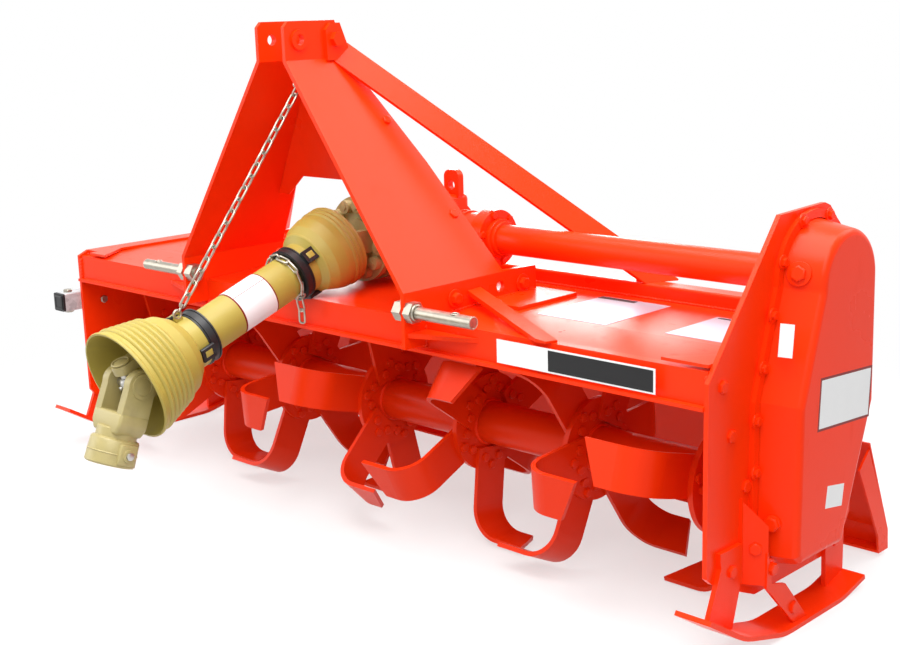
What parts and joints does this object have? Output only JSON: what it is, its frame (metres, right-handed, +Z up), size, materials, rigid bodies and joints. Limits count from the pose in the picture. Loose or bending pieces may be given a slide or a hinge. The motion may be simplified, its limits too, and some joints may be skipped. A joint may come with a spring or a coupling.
{
  "type": "rotary tiller",
  "caption": "Three-point-hitch rotary tiller: sheet hood, leaning hitch mast, gearbox, side chain case, bent-blade rotor, hinged tail board, skids and a shielded telescopic driveline.",
  "frame": {"origin": "on the ground, below the middle of the whole machine's box with its driveline hanging at rest", "axes": "+Z up, -Y towards the tractor, +X towards the chain case"},
  "size_m": [1.85, 1.051, 0.962],
  "materials": {
    "orange_paint": "gloss orange-red powder coat",
    "rotor_paint": "gloss orange-red paint on blades and flanges",
    "tan_plastic": "moulded tan-yellow plastic",
    "black_plastic": "moulded black plastic",
    "galvanised": "galvanised",
    "zinc_plate": "zinc plated",
    "clutch_paint": "tan enamel on cast iron",
    "yoke_paint": "pale tan enamel on forged steel",
    "bare_steel": "bare turned steel"
  },
  "bodies": {
    "frame": {"case_cover": "orange_paint", "case_flange": "orange_paint", "case_guard": "orange_paint", "chain_eye": "zinc_plate", "clutch_guard": "orange_paint", "corner_gussets": "orange_paint", "deck_doublers": "orange_paint", "end_bearing": "bare_steel", "front_rail": "orange_paint", "gearbox": "orange_paint", "hinge_lugs": "orange_paint", "hinge_rod": "bare_steel", "hitch_gussets": "orange_paint", "hood_deck": "orange_paint", "jackshaft_tube": "orange_paint", "lower_pins": "zinc_plate", "mast_bolt": "orange_paint", "mast_plates": "orange_paint", "mast_spacer": "zinc_plate", "rail_stay": "orange_paint", "rear_beam": "orange_paint", "rear_braces": "orange_paint", "rear_hood": "orange_paint", "side_plate_left": "orange_paint", "side_plate_right": "orange_paint", "side_tube": "galvanised", "side_tube_plug": "black_plastic", "skids": "orange_paint"},
    "tail_board": {"tail_board": "orange_paint"},
    "rotor": {"rotor_shaft": "rotor_paint", "rotor_flanges": "rotor_paint", "tines_right": "rotor_paint", "tines_left": "rotor_paint"},
    "clutch": {"friction_clutch": "clutch_paint"},
    "rear_guard": {"rear_shield": "tan_plastic", "rear_collar": "black_plastic"},
    "rear_drive": {"rear_shaft": "yoke_paint"},
    "front_guard": {"front_shield": "tan_plastic", "front_collar": "black_plastic"},
    "front_drive": {"front_shaft": "yoke_paint"},
    "cross": {"front_cross": "bare_steel"},
    "yoke": {"tractor_yoke": "yoke_paint"},
    "chain": {"stay_chain": "zinc_plate"}
  },
  "joints": [
    {"name": "clutch_spin", "type": "hinge", "parent": "frame", "child": "clutch", "pos_m": [-0.062, 0.11747, 0.542], "axis": [0, -1, 0], "continuous": true},
    {"name": "rotor_spin", "type": "hinge", "parent": "frame", "child": "rotor", "pos_m": [-0.012, 0.13747, 0.222], "axis": [1, 0, 0], "continuous": true},
    {"name": "driveline_lift", "type": "hinge", "parent": "frame", "child": "rear_guard", "pos_m": [-0.062, 0.05747, 0.542], "axis": [-1, 0, 0], "range_deg": [0, 12]},
    {"name": "rear_drive_spin", "type": "hinge", "parent": "rear_guard", "child": "rear_drive", "pos_m": [-0.062, 0.05747, 0.542], "axis": [0, -0.9403, -0.3404], "continuous": true},
    {"name": "driveline_slide", "type": "slide", "parent": "rear_guard", "child": "front_guard", "axis": [0, -0.9403, -0.3404], "range_m": [0, 0.1]},
    {"name": "front_drive_spin", "type": "hinge", "parent": "front_guard", "child": "front_drive", "pos_m": [-0.062, 0.05747, 0.542], "axis": [0, -0.9403, -0.3404], "continuous": true},
    {"name": "cross_turn", "type": "hinge", "parent": "front_drive", "child": "cross", "pos_m": [-0.062, -0.43148, 0.365], "axis": [0, -0.3404, 0.9403], "range_deg": [-15, 15]},
    {"name": "yoke_turn", "type": "hinge", "parent": "cross", "child": "yoke", "pos_m": [-0.062, -0.43148, 0.365], "axis": [1, 0, 0], "range_deg": [-65, 4]},
    {"name": "tail_board_hinge", "type": "hinge", "parent": "frame", "child": "tail_board", "pos_m": [-0.012, 0.41947, 0.345], "axis": [1, 0, 0], "range_deg": [0, 70]},
    {"name": "chain_swing", "type": "hinge", "parent": "frame", "child": "chain", "pos_m": [-0.016, -0.05753, 0.85], "axis": [-1, 0, 0], "range_deg": [0, 24]}
  ],
  "couplings": [
    {"joint": "rotor_spin", "follows": "clutch_spin", "ratio": 0.37},
    {"joint": "rear_drive_spin", "follows": "clutch_spin", "ratio": 1},
    {"joint": "front_drive_spin", "follows": "clutch_spin", "ratio": 1},
    {"joint": "chain_swing", "follows": "driveline_lift", "ratio": 2}
  ]
}
